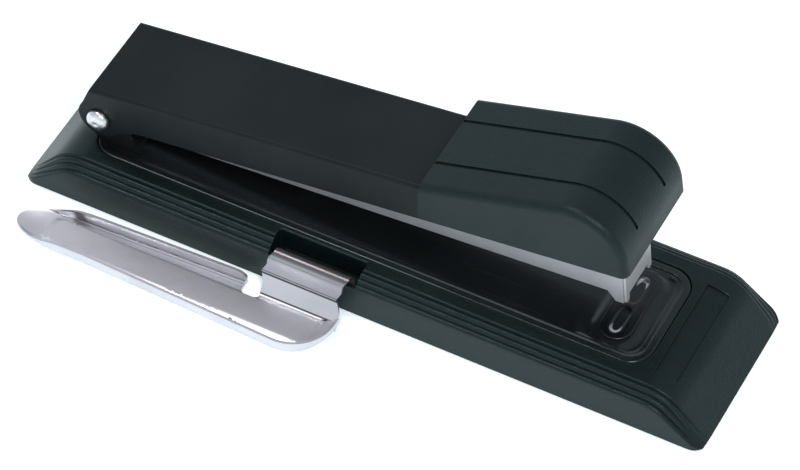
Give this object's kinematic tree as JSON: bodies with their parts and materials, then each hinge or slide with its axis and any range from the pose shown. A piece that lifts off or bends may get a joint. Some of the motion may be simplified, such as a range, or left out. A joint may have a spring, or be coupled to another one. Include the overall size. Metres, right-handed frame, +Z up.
{
  "type": "stapler",
  "caption": "Desk stapler with pivoting magazine and lever, sprung pusher, clinching anvil and a clip-on staple remover.",
  "frame": {"origin": "centre of the footprint on the underside of the rubber foot", "axes": "+X towards the stapling end, +Y away from the staple remover, +Z up"},
  "size_m": [0.2006, 0.0711, 0.0636],
  "materials": {
    "moulded_black": "finely grained, near black",
    "black_enamel": "satin black enamel",
    "deck_enamel": "semi-gloss black enamel",
    "nickel_plate": "bright nickel plate",
    "bright_steel": "bright drawn steel",
    "spring_steel": "blued spring steel",
    "anvil_steel": "hardened, dark polished steel",
    "staple_wire": "galvanised wire",
    "foot_rubber": "matt black rubber",
    "slide_plastic": "black acetal"
  },
  "bodies": {
    "base": {"base_shell": "moulded_black", "foot_pad": "foot_rubber", "base_plate": "deck_enamel", "anvil": "anvil_steel", "pivot_bracket": "black_enamel", "bracket_rivets": "bright_steel", "plate_screws": "bright_steel", "lift_spring": "spring_steel", "lift_spring_rivet": "bright_steel", "pivot_rivet": "bright_steel", "pivot_spacers": "bright_steel"},
    "magazine": {"magazine_channel": "nickel_plate", "nose_plate": "nickel_plate", "staple_rail": "bright_steel", "rail_rivets": "bright_steel", "staple_strip": "staple_wire", "spring_rod": "bright_steel", "rod_anchor": "bright_steel", "pusher_spring": "spring_steel"},
    "pusher": {"pusher": "slide_plastic"},
    "handle": {"handle_cover": "black_enamel", "handle_cap": "moulded_black", "driver_blade": "bright_steel", "driver_rivet": "bright_steel", "handle_spring": "spring_steel"},
    "remover": {"staple_remover": "nickel_plate"}
  },
  "joints": [
    {"name": "magazine_pivot", "type": "hinge", "parent": "base", "child": "magazine", "pos_m": [-0.082, 0, 0.023], "axis": [0, -1, 0], "range_deg": [-3.5, 55], "stiffness_Nm_per_rad": 1.6, "springref_deg": 3.44, "deforming": ["lift_spring"]},
    {"name": "handle_pivot", "type": "hinge", "parent": "magazine", "child": "handle", "pos_m": [-0.082, 0, 0.023], "axis": [0, -1, 0], "range_deg": [-3.9, 60], "stiffness_Nm_per_rad": 1, "springref_deg": 3.44, "deforming": ["handle_spring"]},
    {"name": "pusher_slide", "type": "slide", "parent": "magazine", "child": "pusher", "axis": [0.9963, 0, 0.0854], "range_m": [-0.051, 0], "stiffness_N_per_m": 20, "springref_m": 0.05, "deforming": ["pusher_spring"]},
    {"name": "remover_lift", "type": "slide", "parent": "base", "child": "remover", "axis": [0, 0, 1], "range_m": [0, 0.03]}
  ]
}
